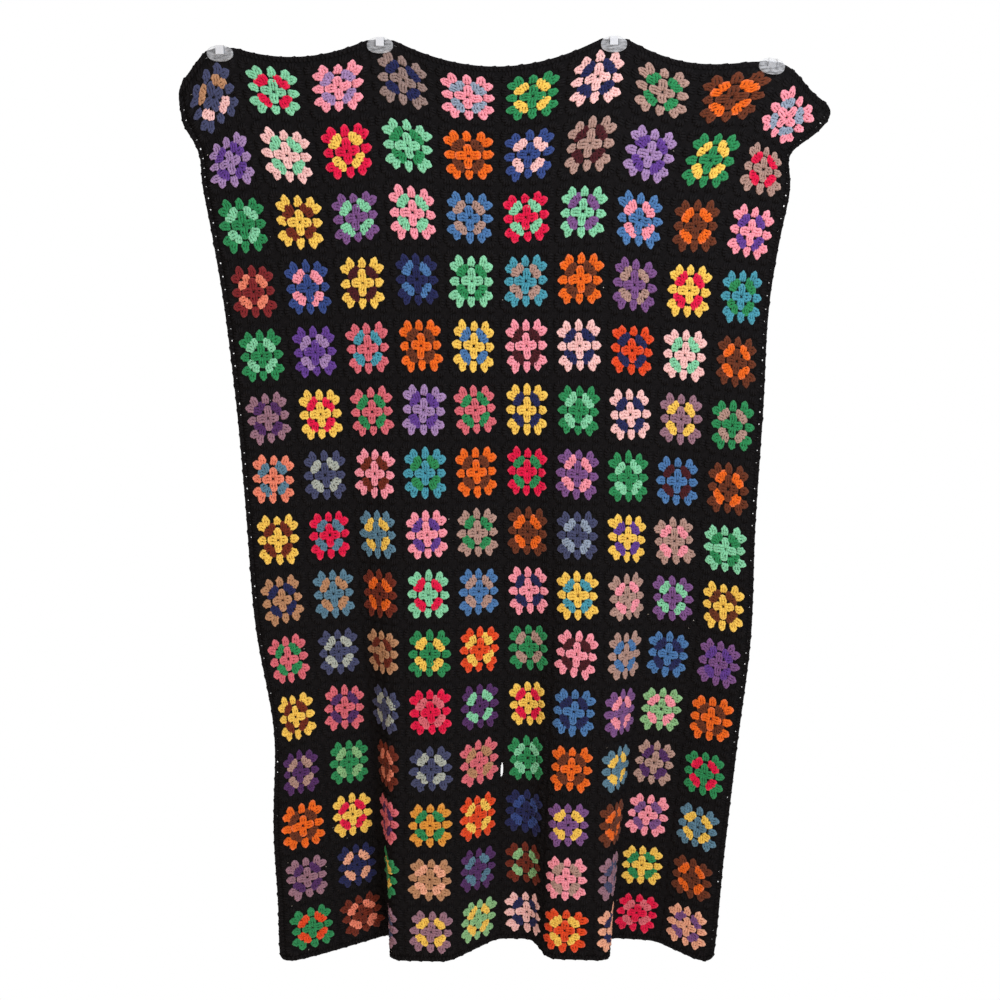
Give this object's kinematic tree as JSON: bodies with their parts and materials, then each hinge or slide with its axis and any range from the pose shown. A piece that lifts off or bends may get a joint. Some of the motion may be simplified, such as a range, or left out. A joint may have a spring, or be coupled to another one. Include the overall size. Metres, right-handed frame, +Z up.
{
  "type": "granny square blanket hung from wall clips",
  "caption": "Crocheted granny square blanket with dark joining rounds, hung from clear moulded wall clips and falling in soft pleats.",
  "frame": {"origin": "on the wall plane, midway between the two inner clips and level with them", "axes": "+Z up, +Y toward the wall behind, so the front faces -Y, +X to the right seen from the front"},
  "size_m": [1.1771, 0.1436, 1.7824],
  "materials": {
    "squares_yarn": "crocheted acrylic worsted yarn, many colours framed in black",
    "edging_yarn": "crocheted acrylic worsted yarn, black",
    "clear_plastic": "moulded clear plastic"
  },
  "bodies": {
    "root": {"joined_squares": "squares_yarn", "edging_top": "edging_yarn", "edging_hem": "edging_yarn", "edging_left": "edging_yarn", "edging_right": "edging_yarn", "clip_outer_left": "clear_plastic", "clip_inner_left": "clear_plastic", "clip_inner_right": "clear_plastic", "clip_outer_right": "clear_plastic"}
  },
  "joints": []
}
